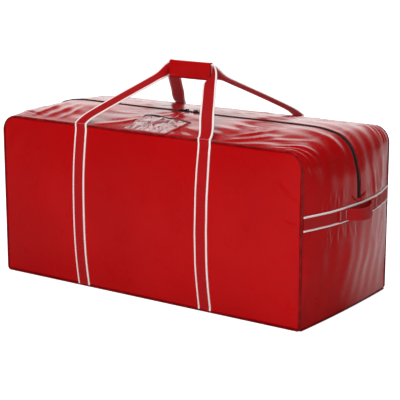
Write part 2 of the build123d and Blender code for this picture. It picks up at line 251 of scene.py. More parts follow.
def clear_vinyl():
    """Clear film over red vinyl, crinkled, with paler, more opaque streaks painted on as
    highlights.
    """
    n = Finish("clear_window_vinyl")
    # Painted highlights: the pale, more opaque streaks stand for glints on the crinkled film.
    painted_glint = n.ramp(n.noise(52, 2, 0.5, (1, 0.36, 1), distortion=0.9), 0.32, 0.64)
    n.put(n.ramp(painted_glint, 0, 1, 0.35, 0.8), n.shader.inputs["Alpha"])
    creases = n.bump(n.noise(16, 2, 0.45, distortion=0.8), 0.006, 0.5)
    fine = n.bump(n.noise(90, 2, 0.5), 0.0004, 0.4, creases)
    color = n.mix(painted_glint, (0.5, 0.16, 0.17, 1), (0.88, 0.68, 0.68, 1))
    return n.finish(color, 0.1, fine, Coat_Weight=1.0, Coat_Roughness=0.03)


def cloth_black(name, shade):
    n = Finish(name)
    weave = n.maths("MULTIPLY", n.wave(500, "X"), n.wave(500, "Y"))
    # Painted shade: the colour is darker in the weave's hollows and lighter on its crests.
    color = n.mix(weave, grey(shade * 0.5), grey(shade * 1.4))
    return n.finish(color, 0.8, n.bump(weave, 0.0002, 0.5), Sheen_Weight=0.3)


def thread(name, color):
    n = Finish(name)
    shade = n.mix(n.noise(900, 2), darker(color, 0.7), color)
    return n.finish(shade, 0.6, n.bump(n.noise(2500, 1), 0.0001, 0.5), Sheen_Weight=0.2)


RED_DEEP = (0.39, 0.0, 0.001, 1)
RED_BRIGHT = (0.45, 0.0005, 0.0015, 1)
WEB_RED = (0.47, 0.0005, 0.003, 1)
# Paler pink copy of the webbing red for the inner side of the handle legs: painted sheen and
# backlight.
WEB_RED_PAINTED_SHEEN = (0.75, 0.14, 0.17, 1)
WEB_WHITE = (0.95, 0.88, 0.86, 1)
LINING_DEEP = (0.2, 0.01, 0.012, 1)
LINING_BRIGHT = (0.28, 0.014, 0.016, 1)
materials = {
    "vinyl": vinyl("vinyl_red_gloss", RED_DEEP, RED_BRIGHT),
    "lining": vinyl("vinyl_red_back", LINING_DEEP, LINING_BRIGHT, 0.55, 0.001),
    "webbing": webbing("webbing_red_striped", WEB_RED, WEB_WHITE),
    "webbing_painted_sheen": webbing("webbing_red_painted_sheen", WEB_RED_PAINTED_SHEEN, WEB_WHITE),
    "plain_webbing": webbing("webbing_red_plain", WEB_RED, WEB_RED),
    "coil": zip_coil(),
    "tape": zip_tape(),
    "metal": black_metal(),
    "piping": piping(),
    "window": clear_vinyl(),
    "binding": cloth_black("binding_black", 0.012),
    "touch": cloth_black("hook_and_loop_black", 0.02),
    "red_thread": thread("thread_red", (0.3, 0.01, 0.012, 1)),
    "white_thread": thread("thread_white", (0.8, 0.76, 0.74, 1)),
}


# ---- Mesh helpers ----
def new_piece(name, verts, faces, *finishes, face_finish=None, uvs=None):
    """A mesh object; face_finish gives each face's material index and uvs one pair per vertex."""
    mesh = bpy.data.meshes.new(name)
    corners = [tuple(int(i) for i in face) for face in faces]
    mesh.from_pydata([tuple(v) for v in np.reshape(verts, (-1, 3))], [], corners)
    for finish in finishes:
        mesh.materials.append(materials[finish])
    if face_finish is not None:
        mesh.polygons.foreach_set("material_index", np.asarray(face_finish, np.int32))
    if uvs is not None:
        layer = mesh.uv_layers.new(name="UVMap")
        corner_verts = np.zeros(len(mesh.loops), np.int32)
        mesh.loops.foreach_get("vertex_index", corner_verts)
        layer.data.foreach_set("uv", np.asarray(uvs, np.float32)[corner_verts].ravel())
    mesh.polygons.foreach_set("use_smooth", [True] * len(mesh.polygons))
    mesh.update()
    piece = bpy.data.objects.new(name, mesh)
    bpy.context.scene.collection.objects.link(piece)
    return piece


def grid_faces(rows, columns):
    index = np.arange(rows * columns).reshape(rows, columns)
    corners = [index[:-1, :-1], index[1:, :-1], index[1:, 1:], index[:-1, 1:]]
    return np.stack(corners, axis=-1).reshape(-1, 4)


def ring_faces(rings, around):
    """Faces of the walls between successive rings of points."""
    index = np.arange(rings * around).reshape(rings, around)
    turned = np.roll(index, -1, 1)
    return np.stack([index[:-1], index[1:], turned[1:], turned[:-1]], axis=-1).reshape(-1, 4)


def grid_piece(name, points, finish, outward, thickness=WALL, inner=None, levels=1, uvs=None):
    """Sheet over a grid of points, thickened away from the outward direction at its middle.

    Its inner side can have a finish of its own.
    """
    rows, columns = points.shape[:2]
    faces = grid_faces(rows, columns)
    middle = points[rows // 2, columns // 2]
    ahead = points[rows // 2 + 1, columns // 2] - middle
    side = points[rows // 2, columns // 2 + 1] - middle
    if np.dot(np.cross(ahead, side), outward) < 0:
        faces = faces[:, ::-1]
    piece = new_piece(name, points, faces, finish, inner or finish, uvs=uvs)
    if levels:
        smooth = piece.modifiers.new("smooth", "SUBSURF")
        smooth.levels = smooth.render_levels = levels
        smooth.boundary_smooth = "PRESERVE_CORNERS"
    shell = piece.modifiers.new("thickness", "SOLIDIFY")
    shell.thickness = thickness
    shell.offset = -1
    shell.use_even_offset = False
    shell.material_offset = 1 if inner else 0
    return piece


def soften(piece, width, **settings):
    """Rounds the edges of a piece."""
    edge = piece.modifiers.new("soft_edge", "BEVEL")
    edge.width = width
    edge.segments = 2
    for name, value in settings.items():
        setattr(edge, name, value)


SETTLE_FRAMES = 18
CLOTH_STIFFNESS = 60.0
LARGEST_GROWTH = 0.03


def settle(name, points, pinned, pressure, growth, cap):
    """Cloth simulation of a pinned sheet that is cut a little too large; returns its new grid.

    pinned and growth run from 0 to 1 at each point, and no point moves further than the cap.
    """
    rows, columns = points.shape[:2]
    piece = new_piece(name, points, grid_faces(rows, columns), "vinyl")
    held = piece.vertex_groups.new(name="held")
    for weight in np.unique(pinned[pinned > 0]):
        at_weight = [int(i) for i in np.flatnonzero(pinned.ravel() == weight)]
        held.add(at_weight, float(weight), "REPLACE")
    loose = piece.vertex_groups.new(name="loose")
    for i, amount in enumerate(growth.ravel()):
        loose.add([i], float(amount), "REPLACE")
    cloth = piece.modifiers.new("Cloth", "CLOTH")
    settings = cloth.settings
    settings.quality = 6
    settings.mass = 0.15
    settings.tension_stiffness = settings.compression_stiffness = CLOTH_STIFFNESS
    settings.shear_stiffness = CLOTH_STIFFNESS / 3
    settings.bending_stiffness = 0.6
    settings.tension_damping = settings.compression_damping = 10
    settings.air_damping = 4
    settings.vertex_group_mass = "held"
    settings.use_pressure = True
    settings.uniform_pressure_force = pressure
    settings.effector_weights.gravity = 0
    settings.vertex_group_shrink = "loose"
    settings.shrink_min = 0.0
    settings.shrink_max = -LARGEST_GROWTH
    cloth.collision_settings.use_collision = False
    cloth.point_cache.frame_end = SETTLE_FRAMES
    scene = bpy.context.scene
    for step in range(1, SETTLE_FRAMES + 1):
        scene.frame_set(step)
    evaluated = piece.evaluated_get(bpy.context.evaluated_depsgraph_get())
    moved = np.array([v.co for v in evaluated.data.vertices]).reshape(rows, columns, 3)
    scene.frame_set(1)
    bpy.data.objects.remove(piece)
    shift = moved - points
    length = np.linalg.norm(shift, axis=2, keepdims=True)
    print("settled", name, "largest move", round(float(length.max()), 4))
    return points + shift * np.minimum(1, cap / np.maximum(length, 1e-9))


def unit(vectors):
    return vectors / np.linalg.norm(vectors, axis=-1, keepdims=True)


def run_along(points):
    """Distance along a path of points, from 0 at its first."""
    steps = np.linalg.norm(np.diff(points, axis=0), axis=1)
    return np.concatenate([[0], np.cumsum(steps)])


def xyz(x, y, z):
    """Points from their coordinates, each a number or spread over a common grid."""
    return np.stack(np.broadcast_arrays(x, y, z), axis=-1)


def grid(a, b):
    return np.meshgrid(a, b, indexing="ij")


class Surface:
    """A settled grid that other pieces lie on, looked up by its two flat coordinates."""

    def __init__(self, a, b, points, outward_sign):
        self.a, self.b, self.points = a, b, points
        along, across = np.gradient(points, axis=0), np.gradient(points, axis=1)
        self.normals = unit(np.cross(along, across) * outward_sign)

    def at(self, a, b, lift=0.0):
        a, b = np.broadcast_arrays(np.asarray(a, float), np.asarray(b, float))
        row = np.clip(np.interp(a, self.a, np.arange(len(self.a))), 0, len(self.a) - 1.001)
        column = np.clip(np.interp(b, self.b, np.arange(len(self.b))), 0, len(self.b) - 1.001)
        i, j = row.astype(int), column.astype(int)
        u, v = (row - i)[..., None], (column - j)[..., None]

        def mixed(field):
            near = field[i, j] * (1 - v) + field[i, j + 1] * v
            far = field[i + 1, j] * (1 - v) + field[i + 1, j + 1] * v
            return near * (1 - u) + far * u

        return mixed(self.points) + mixed(self.normals) * np.asarray(lift)[..., None]


# ---- The settled shell ----
CORNER_SAG = 0.016
SAG_PLACE = 0.492  # along the strip, where the lid turns into the end
END_BULGE = 0.011
FACE_BULGE = 0.017


def crown(y):
    return CROWN - CROWN_RADIUS + np.sqrt(CROWN_RADIUS**2 - y**2)


def strip_point(s, y, proud=0.0):
    """Lid-and-ends strip: s runs along it from the middle of the lid and y across it."""
    s, y = np.broadcast_arrays(np.asarray(s, float), np.asarray(y, float))
    above_base = np.clip((S_END - np.abs(s)) / 0.16, 0, 1)
    fullness = BASE_CROWN + (1 - BASE_CROWN) * above_base**2 * (3 - 2 * above_base)
    rise = crown(y) * fullness + proud
    turn = np.clip((np.abs(s) - CORNER_X) / TOP_R, 0, pi / 2)
    down = np.clip(np.abs(s) - S_CORNER_END, 0, None)
    x = np.minimum(np.abs(s), CORNER_X) + (TOP_R + rise) * np.sin(turn)
    z = CORNER_Z + (TOP_R + rise) * np.cos(turn) - down
    return xyz(np.sign(s) * x, y, z)


def soft_noise(a, b, scale, seed):
    """Smooth noise from a few sine waves in seeded directions, about -1 to 1."""
    waves = np.random.default_rng(seed)
    total = np.zeros(np.broadcast(a, b).shape)
    for _ in range(9):
        angle, phase = waves.uniform(0, 2 * pi, 2)
        size = scale * waves.uniform(0.6, 1.6)
        total += np.sin((a * cos(angle) + b * sin(angle)) * 2 * pi / size + phase)
    return total / 3.5


def hill(offset, width):
    """Bell curve, 1 where the offset is 0."""
    return np.exp(-((offset / width) ** 2))


def mirrored(values):
    """Values from 0 upwards, with their mirror images before them."""
    return np.concatenate([-values[:0:-1], values])


def refined(values):
    """Values with the midpoints between them."""
    return np.sort(np.concatenate([values, (values[1:] + values[:-1]) / 2]))


def spread(field, a, b, fine_a, fine_b):
    """A field of vectors on a coarse grid, brought smoothly onto a finer one."""
    rows = np.apply_along_axis(lambda line: np.interp(fine_a, a, line), 0, field)
    fine = np.apply_along_axis(lambda line: np.interp(fine_b, b, line), 1, rows)
    for _ in range(3):
        fine[1:-1] = (fine[:-2] + 2 * fine[1:-1] + fine[2:]) / 4
        fine[:, 1:-1] = (fine[:, :-2] + 2 * fine[:, 1:-1] + fine[:, 2:]) / 4
    return fine


def folds(a, b, lines):
    """Height of soft creases in a sheet; each line is (a0, b0, a1, b1, height, width)."""
    total = np.zeros(a.shape)
    for a0, b0, a1, b1, height, width in lines:
        length = hypot(a1 - a0, b1 - b0)
        ahead_a, ahead_b = (a1 - a0) / length, (b1 - b0) / length
        along = ((a - a0) * ahead_a + (b - b0) * ahead_b) / length
        off = (b - b0) * ahead_a - (a - a0) * ahead_b + 0.05 * length * np.sin(along * 4.2)
        fade = np.sin(pi * np.clip(along, 0, 1)) ** 1.4
        trough = hill(off - 1.9 * width, 1.3 * width)
        total += height * fade * (hill(off, width) - 0.45 * trough)
    return total


def scattered(seed, count, a_range, b_range, angle, lengths, height, width):
    """Seeded fold lines about an angle from the first axis, in degrees with its spread."""
    draw = np.random.default_rng(seed)
    lines = []
    for _ in range(count):
        a0, b0 = draw.uniform(*sorted(a_range)), draw.uniform(*sorted(b_range))
        turn = radians(draw.normal(*angle))
        length = draw.uniform(*lengths)
        lines.append((a0, b0, a0 + length * cos(turn), b0 + length * sin(turn),
                      height * draw.uniform(0.5, 1.3), width * draw.uniform(0.7, 1.4)))
    return lines


LID_ARCS = (
    (0.365, 0.213, 0.505, 0.150, 0.0020, 0.0066),
    (0.375, 0.222, 0.530, 0.168, 0.0022, 0.0052),
    (0.388, 0.226, 0.548, 0.184, 0.0020, 0.0046),
    (0.405, 0.229, 0.556, 0.200, 0.0016, 0.0044),
)
LID_FAN = (
    (0.340, 0.180, 0.480, 0.110, 0.0016, 0.0100),
    (0.215, 0.222, 0.400, 0.120, 0.0026, 0.0120),
    (0.225, 0.205, 0.360, 0.060, 0.0022, 0.0100),
    (0.240, 0.228, 0.430, 0.185, 0.0016, 0.0085),
    (0.150, 0.020, 0.330, 0.150, 0.0018, 0.0120),
)
LID_ACROSS = (
    (0.425, 0.215, 0.385, 0.020, 0.0030, 0.0110),
    (0.380, 0.222, 0.330, 0.040, 0.0028, 0.0130),
    (0.325, 0.215, 0.300, 0.060, 0.0024, 0.0100),
    (0.270, 0.200, 0.240, 0.020, 0.0022, 0.0120),
)


def strip_folds():
    """Creases of the lid and ends, as lines for folds().

    Arcs lie in the lid's corners, a fan runs from the right straps and creases cross the left of
    the lid; the rest are scattered over the lid, above and below the bands and down the ends.
    """
    lines = []
    for side_x, side_y in SIDES:
        shift = 0.006 * (side_x + 2 * side_y)
        for a0, b0, a1, b1, height, width in LID_ARCS + (LID_FAN if side_x > 0 else LID_ACROSS):
            lines.append((side_x * (a0 + shift), side_y * b0, side_x * (a1 - shift), side_y * b1,
                          height, width))
        lines.append((side_x * 0.190, side_y * 0.216, side_x * 0.030, side_y * 0.130,
                      0.0022, 0.0100))
        lines += scattered(60 + 2 * side_x + side_y, 9, (-0.05 * side_x, 0.36 * side_x),
                           (0.03 * side_y, 0.19 * side_y), (20 * side_x * side_y, 20),
                           (0.10, 0.24), 0.0015, 0.0105)
    for side_x in (1, -1):
        downwards = 90 - 90 * side_x
        above_band = (side_x * (S_BAND - 0.075), side_x * (S_BAND - 0.045))
        below_band = (side_x * (S_BAND + 0.02), side_x * (S_BAND + 0.03))
        low_end = (side_x * (S_BAND + 0.04), side_x * (S_END - 0.14))
        for seed, beside_band in ((70, above_band), (80, below_band)):
            lines += scattered(seed + side_x, 17, beside_band, (-0.16, 0.16), (downwards, 9),
                               (0.035, 0.06), 0.0015, 0.0034)
        lines += scattered(90 + side_x, 7, (side_x * 0.52, side_x * 0.56), (0.03, 0.19),
                           (downwards, 14), (0.09, 0.15), 0.0013, 0.0100)
        lines += scattered(95 + side_x, 9, low_end, (-0.19, 0.19), (downwards, 35),
                           (0.08, 0.15), 0.0010, 0.0140)
    return lines


def make_strip():
    """The lid and both ends as one sheet, settled, sagged at the corners and creased."""
    to_band, to_base = np.linspace(0, S_BAND, 79), np.linspace(S_BAND, S_END, 33)
    s = mirrored(np.concatenate([to_band, to_base[1:]]))
    y = mirrored(np.concatenate([[0.0], np.linspace(ZIP_EDGE, EDGE_Y, 27)]))

    def shape(ss, yy):
        edge = np.clip(1 - (np.abs(yy) / EDGE_Y) ** 2, 0, 1)
        on_end = np.clip((np.abs(ss) - CORNER_X) / (S_CORNER_END - CORNER_X), 0, 1)
        middle = np.clip(1 - ((np.abs(ss) - S_BAND) / 0.3) ** 2, 0, 1)
        sag = CORNER_SAG * hill(np.abs(ss) - SAG_PLACE, 0.055)
        return strip_point(ss, yy, (END_BULGE * on_end * middle - sag) * edge)

    ss, yy = grid(s, y)
    points = shape(ss, yy)
    pinned = np.zeros(ss.shape)
    pinned[:, 0] = pinned[:, -1] = 1
    pinned[0] = pinned[-1] = 1
    on_zip = (np.abs(yy) <= ZIP_EDGE + 1e-6) & (np.abs(ss) < S_BAND)
    pinned[on_zip] = np.where(np.abs(ss[on_zip]) < CORNER_X, 1.0, 0.6)
    pinned[np.abs(np.abs(ss) - S_BAND) < WEB_WIDTH / 2] = 0.8
    near_corner = hill(np.abs(ss) - CORNER_X - 0.02, 0.09)
    growth = 0.25 + 0.55 * near_corner + 0.2 * soft_noise(ss, yy, 0.2, 5)
    shift = settle("strip", points, pinned, 2.5, np.clip(growth, 0, 1), cap=0.012) - points

    fine_s, fine_y = refined(s), refined(y)
    ss, yy = grid(fine_s, fine_y)
    points = shape(ss, yy) + spread(shift, s, y, fine_s, fine_y)
    sheet = Surface(fine_s, fine_y, points, 1.0)
    at_seam = np.clip((1 - np.abs(yy) / EDGE_Y) / 0.05, 0, 1) ** 0.7
    near_base = np.clip((S_END - np.abs(ss)) / 0.04, 0, 1)
    near_sliders = 1 - 0.85 * np.exp(-((ss / 0.42) ** 8) - ((yy / 0.022) ** 4))
    waves = 0.0016 * soft_noise(0.55 * ss, 1.5 * yy, 0.13, 3) + folds(ss, yy, strip_folds())
    lift = waves * at_seam * near_base * near_sliders
    return Surface(fine_s, fine_y, points + sheet.normals * lift[..., None], 1.0)


def rounded(x, z):
    """Moves points in the corner squares of a face onto its rounded corners."""
    top_r = TOP_R - (HALF_LENGTH - panel_high.x)
    low_r = 0.0063
    corners = ((panel_high.z - top_r, top_r, 1), (panel_low.z + low_r, low_r, -1))
    for sign in (-1, 1):
        for corner_z, radius, up in corners:
            a = (sign * x - (panel_high.x - radius)) / radius
            b = up * (z - corner_z) / radius
            inside = (a > 0) & (b > 0)
            new_a, new_b = a * np.sqrt(1 - b**2 / 2), b * np.sqrt(1 - a**2 / 2)
            x = np.where(inside, sign * (panel_high.x - radius + new_a * radius), x)
            z = np.where(inside, corner_z + up * new_b * radius, z)
    return x, z


def make_face(name, side, seed):
    """Front (side -1) or back (side 1) panel, bulged between its seams and creased beside them."""
    x = mirrored(np.linspace(0, panel_high.x, 60))
    z = np.linspace(panel_low.z, panel_high.z, 56)

    def shape(xx, zz):
        u = xx / panel_high.x
        v = 2 * (zz - panel_low.z) / (panel_high.z - panel_low.z) - 1
        bulge = FACE_BULGE * (1 - np.abs(u) ** 5) * (1 - np.abs(v) ** 2.4) * (1 - 0.12 * v)
        px, pz = rounded(xx, zz)
        return u, v, xyz(px, side * (FACE_Y + bulge), pz)

    xx, zz = grid(x, z)
    u, v, points = shape(xx, zz)
    pinned = np.zeros(xx.shape)
    pinned[0] = pinned[-1] = 1
    pinned[:, 0] = pinned[:, -1] = 1
    from_corner = np.hypot((1 - np.abs(u)) / 0.35, (1 - v) / 0.7)
    growth = 0.14 + 0.5 * np.exp(-(from_corner**2)) + 0.12 * soft_noise(xx, zz, 0.2, seed + 1)
    shift = settle(name, points, pinned, -side * 2.0, np.clip(growth, 0, 1), cap=0.008) - points

    fine_x, fine_z = refined(x), refined(z)
    xx, zz = grid(fine_x, fine_z)
    u, v, points = shape(xx, zz)
    points += spread(shift, x, z, fine_x, fine_z)
    lines = [
        (-side * 0.425, 0.385, -side * 0.489, 0.318, 0.0034, 0.0052),
        (-side * 0.440, 0.286, -side * 0.491, 0.268, 0.0026, 0.0046),
        (-side * 0.440, 0.062, -side * 0.491, 0.048, 0.0024, 0.0046),
        (side * 0.430, 0.435, side * 0.472, 0.330, 0.0026, 0.0130),
        (side * 0.400, 0.440, side * 0.450, 0.345, 0.0018, 0.0150),
        (side * 0.380, 0.050, side * 0.470, 0.110, 0.0016, 0.0120),
    ]
    lines += scattered(seed + 2, 8, (-0.45, 0.4), (0.06, 0.36), (50, 35), (0.08, 0.2),
                       0.0010, 0.0160)
    at_seam = np.clip(np.minimum(1 - np.abs(u), (1 - np.abs(v)) / 2) / 0.012, 0, 1) ** 0.7
    waves = 0.0012 * soft_noise(xx, zz, 0.26, seed) + folds(xx, zz, lines)
    points[..., 1] += side * waves * at_seam
    return Surface(fine_x, fine_z, points, 1.0 if side < 0 else -1.0)


strip = make_strip()
front = make_face("front_face", -1, 11)
back = make_face("back_face", 1, 23)


# ---- Helpers for placing and naming pieces ----
def bend_with_flap(piece):
    """Bakes a lid piece's transform into its mesh; it is not blended to its flap.
    """
    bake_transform(piece)


def side_name(side_x):
    return "right" if side_x > 0 else "left"


def face_name(side_y):
    return "front" if side_y < 0 else "back"


def declare(piece, slot, body, *replaced):
    """Hides the nodes a piece stands for and hangs it on the body it rides on, if one. The slot is
    not used.
    """
    if replaced:
        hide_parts(*replaced)
    if body:
        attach(piece, body)


# ---- Shell pieces ----
def make_panels():
    for surface, side_y in ((front, -1), (back, 1)):
        piece = grid_piece(
            f"{face_name(side_y)}_panel_vinyl", surface.points, "vinyl", (0, side_y, 0),
            inner="lining", levels=0,
        )
        declare(piece, "vinyl_red", "root", f"{face_name(side_y)}_panel")


def strip_part(s_from, s_to, y_from, y_to):
    rows = (strip.a >= s_from - 1e-6) & (strip.a <= s_to + 1e-6)
    columns = (strip.b >= y_from - 1e-6) & (strip.b <= y_to + 1e-6)
    return strip.points[np.ix_(rows, columns)]


def make_lid():
    for side_x, side_y in SIDES:
        s_ends = sorted((0, side_x * S_BAND))
        y_ends = sorted((side_y * ZIP_EDGE, side_y * EDGE_Y))
        points = strip_part(*s_ends, *y_ends)
        name = f"{face_name(side_y)}_{side_name(side_x)}"
        outward = (side_x * 0.2, 0, 1)
        piece = grid_piece(f"lid_{name}", points, "vinyl", outward, inner="lining", levels=0)
        declare(piece, "vinyl_red", None, f"top_flap_{face_name(side_y)}", f"end_gusset_{name}")
        bend_with_flap(piece)


def make_ends():
    for side_x in (1, -1):
        s_ends = sorted((side_x * S_BAND, side_x * S_END))
        points = strip_part(*s_ends, -EDGE_Y, EDGE_Y)
        name = f"end_panel_{side_name(side_x)}"
        outward = (side_x, 0, 0)
        piece = grid_piece(f"{name}_vinyl", points, "vinyl", outward, inner="lining", levels=0)
        declare(piece, "vinyl_red", "root", name)


def make_base():
    y = np.linspace(-EDGE_Y, EDGE_Y, 41)
    u = np.linspace(-1, 1, 91)
    uu, yy = grid(u, y)
    xx = uu * (panel_high.x + crown(y) * BASE_CROWN)
    rise = 0.0006 * (1 + soft_noise(xx, yy, 0.2, 31) / 3)
    points = xyz(xx, yy, np.clip(rise, 0.0001, 0.0015))
    piece = grid_piece("base_vinyl", points, "vinyl", (0, 0, -1), inner="lining")
    declare(piece, "vinyl_red", "root", "base_panel")


def tube(name, path, radius, finish):
    """Round cord along a path of points, closed at its ends."""
    sides = 12
    ahead = unit(np.gradient(path, axis=0))
    side = unit(np.cross(ahead, (0, 0, 1.0)))
    up = np.cross(side, ahead)
    angles = (np.arange(sides) * 2 * pi / sides)[None, :, None]
    round_path = side[:, None] * np.cos(angles) + up[:, None] * np.sin(angles)
    rings = path[:, None] + radius * round_path
    last = len(path) * sides - 1
    ends = [tuple(range(sides)), tuple(range(last, last - sides, -1))]
    faces = [*ring_faces(len(path), sides), *ends]
    return new_piece(name, rings, faces, finish)


def make_base_piping():
    y = np.linspace(-EDGE_Y + 0.002, EDGE_Y - 0.002, 61)
    for side_x in (1, -1):
        low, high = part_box(f"base_end_piping_{side_name(side_x)}")
        x = HALF_LENGTH - PIPING_SINK + crown(y) * BASE_CROWN
        path = xyz(side_x * x, y, (low.z + high.z) / 2)
        piece = tube(f"base_piping_{side_name(side_x)}", path, PIPING_R, "piping")
        declare(piece, "piping_dark", "root", f"base_end_piping_{side_name(side_x)}")


# ---- Webbing ----
ACROSS_WEB = np.linspace(-0.5, 0.5, 9) * WEB_WIDTH


def ribbon(name, centres, across, inner=None):
    """Flat webbing along centres, with a unit vector across it at each."""
    centres, across = np.asarray(centres, float), np.asarray(across, float)
    points = centres[:, None, :] + across[:, None, :] * ACROSS_WEB[:, None]
    return web_sheet(name, points, inner=inner)


def web_sheet(name, points, finish="webbing", outward=(0, 0, 1), inner=None):
    """Webbing over a grid of points whose rows run along it, half its thickness to each side."""
    columns = points.shape[1]
    lengths = run_along(points[:, columns // 2])
    uvs = np.broadcast_arrays(np.linspace(0, 1, columns), lengths[:, None])
    uvs = np.stack(uvs, axis=-1).reshape(-1, 2)
    piece = grid_piece(name, points, finish, outward, WEB_T, inner=inner, uvs=uvs)
    piece.modifiers["thickness"].offset = 0
    soften(piece, WEB_T * 0.3, material=0, limit_method="ANGLE", angle_limit=radians(50))
    return piece


def make_straps():
    """Carry straps sewn up the front and back, turned over the top seam."""
    z = np.linspace(strap_low.z, panel_high.z - 0.006, 60)
    for side_x, side_y in SIDES:
        surface = front if side_y < 0 else back
        on_face = surface.at(side_x * STRAP_X + ACROSS_WEB, z[:, None], WEB_T / 2 + 0.0003)
        turn = np.radians(np.linspace(176, 104, 7))[:, None]
        wrap_r = PIPING_R + WEB_T / 2 + 0.0003
        over = xyz(
            side_x * STRAP_X + ACROSS_WEB,
            side_y * (-HINGE.y - wrap_r * np.cos(turn)),
            HINGE.z + wrap_r * np.sin(turn),
        )
        points = np.concatenate([on_face, over])
        name = f"{face_name(side_y)}_strap_{side_name(side_x)}"
        piece = web_sheet(f"{name}_webbing", points, outward=(0, side_y, 0))
        declare(piece, "webbing_red", "root", name)


def smooth_path(keys, samples):
    """Catmull-Rom curve through rows of numbers, each row a point and whatever goes with it."""
    keys = np.asarray(keys, float)
    padded = np.concatenate([[2 * keys[0] - keys[1]], keys, [2 * keys[-1] - keys[-2]]])
    pieces = []
    for i in range(1, len(padded) - 2):
        p0, p1, p2, p3 = padded[i - 1 : i + 3]
        t = np.linspace(0, 1, samples, endpoint=False)[:, None]
        pieces.append(
            0.5 * (2 * p1 + (p2 - p0) * t + (2 * p0 - 5 * p1 + 4 * p2 - p3) * t**2
                   + (3 * p1 - p0 - 3 * p2 + p3) * t**3)
        )
    return np.concatenate([*pieces, keys[-1:]])


# The handles: the bar held in the grip, and the plane of the legs, which leans in from the hinge.
BAR_Y = web_high.y - WEB_T / 2
GRIP_Z = (grip_low.z + grip_high.z) / 2
HALF_GRIP = grip_high.x
LEAN = atan2(GRIP_Z - HINGE.z, BAR_Y - HINGE.y)


def leg_path(side_x, side_y):
    """Centres and across-vectors of one handle leg, from over the seam into the grip.

    Each key is a centre, the degrees that the webbing's width lies off the bag's length, and the
    share of its twist from the plane of the legs to the bar.
    """
    up_web, normal = np.array([0, cos(LEAN), sin(LEAN)]), np.array([0, -sin(LEAN), cos(LEAN)])
    across_bar = np.array([0, 0, 1.0])
    wrap_r = PIPING_R + 1.5 * WEB_T + 0.0009
    keys = []
    for turn in (radians(134), radians(128), radians(122)):
        keys.append(([STRAP_X, HINGE.y + wrap_r * cos(turn), HINGE.z + wrap_r * sin(turn)], 0, 0))
    for x, reach, lift, angle, twist in (
        (STRAP_X - 0.002, 0.011, 0.0078, 6, 0),
        (STRAP_X - 0.012, 0.034, 0.0095, 18, 0),
        (0.165, 0.083, 0.0085, 27, 0),
        (0.136, 0.137, 0.0055, 29, 0),
        (0.104, 0.195, 0.0020, 32, 0.02),
        (0.085, 0.2325, 0.0, 42, 0.15),
    ):
        root = np.array([x, HINGE.y, HINGE.z])
        keys.append((root + up_web * reach + normal * lift, angle, twist))
    for past_grip, angle, twist in ((0.004, 84, 0.9), (-0.016, 90, 1), (-0.04, 90, 1)):
        keys.append(([HALF_GRIP + past_grip, BAR_Y, GRIP_Z], angle, twist))
    rows = []
    for centre, angle, twist in keys:
        turn = radians(angle)
        v_axis = up_web * (1 - twist) + across_bar * twist
        across = np.array([cos(turn), 0, 0]) + unit(v_axis) * sin(turn)
        rows.append(np.concatenate([centre, across]))
    path = smooth_path(rows, 7)
    flip = np.array([side_x, -side_y, 1])
    return path[:, :3] * flip, unit(path[:, 3:]) * flip


def make_handles():
    for side_x, side_y in SIDES:
        name = face_name(side_y)
        centres, across = leg_path(side_x, side_y)
        # The legs' inner side gets the paler copy of the webbing: painted sheen and backlight.
        piece = ribbon(f"{name}_handle_{side_name(side_x)}_leg", centres, across, "webbing_painted_sheen")
        declare(piece, "webbing_red", None, f"{name}_handle_web")
        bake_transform(piece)
    for side_y in (-1, 1):
        name = face_name(side_y)
        x = np.linspace(-HALF_GRIP + 0.03, HALF_GRIP - 0.03, 15)
        centres = xyz(x, -side_y * BAR_Y, GRIP_Z)
        piece = ribbon(f"{name}_handle_bar", centres, np.tile([0, 0, 1.0], (15, 1)))
        declare(piece, "webbing_red", f"{name}_handle")


def make_grip():
    """Vinyl wrap: a cover over the front and top, then the closing tab down the back and under."""
    x = np.linspace(-HALF_GRIP, HALF_GRIP, 41)[:, None]
    u = x / HALF_GRIP

    def wrap(name, outline, outward):
        """One part of the wrap, from the (y, z) points of its outline."""
        y, z = smooth_path(outline, 5).T
        puff = 0.0006 * (1 - u**6) + 0.0005 * soft_noise(x, z, 0.05, 41)
        pinch = 1 + 0.03 * u**8
        points = xyz(x, y + np.sign(y + 0.001) * puff, GRIP_Z + (z - GRIP_Z) * pinch)
        return grid_piece(name, points, "vinyl", outward, 0.0014, inner="touch")

    front_y, back_y = grip_low.y - 0.0016, -grip_low.y - 0.0030
    top, low = grip_high.z + 0.0013, grip_low.z - 0.0032
    cover = wrap("grip_cover", [
        (front_y + 0.0030, low + 0.0016),
        (front_y + 0.0006, low + 0.0040),
        (front_y - 0.0004, GRIP_Z - 0.012),
        (front_y - 0.0004, GRIP_Z + 0.010),
        (front_y + 0.0006, top - 0.0040),
        (front_y + 0.0034, top - 0.0004),
        (0, top + 0.0004),
        (back_y - 0.0024, top - 0.0006),
        (back_y, top - 0.0035),
    ], (0, -1, 0))
    declare(cover, "vinyl_red", None, "grip_pad")
    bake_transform(cover)

    tab = wrap("grip_closing_tab", [
        (back_y, top - 0.0035),
        (back_y + 0.0004, GRIP_Z + 0.008),
        (back_y + 0.0004, GRIP_Z - 0.010),
        (back_y - 0.0004, low + 0.0030),
        (back_y - 0.0030, low + 0.0002),
        (-0.001, low - 0.0002),
        (front_y + 0.0042, low),
    ], (0, 1, 0))
    declare(tab, "vinyl_red", "grip_tab", "grip_tab")


LOOP_FREE = 0.065  # half of the grab loop's length that hangs free, then its half length
LOOP_SEWN = 0.1
LOOP_SHARE = 0.78  # of the band's width
LOOP_BOW = 0.021
LOOP_DROP = 0.0065


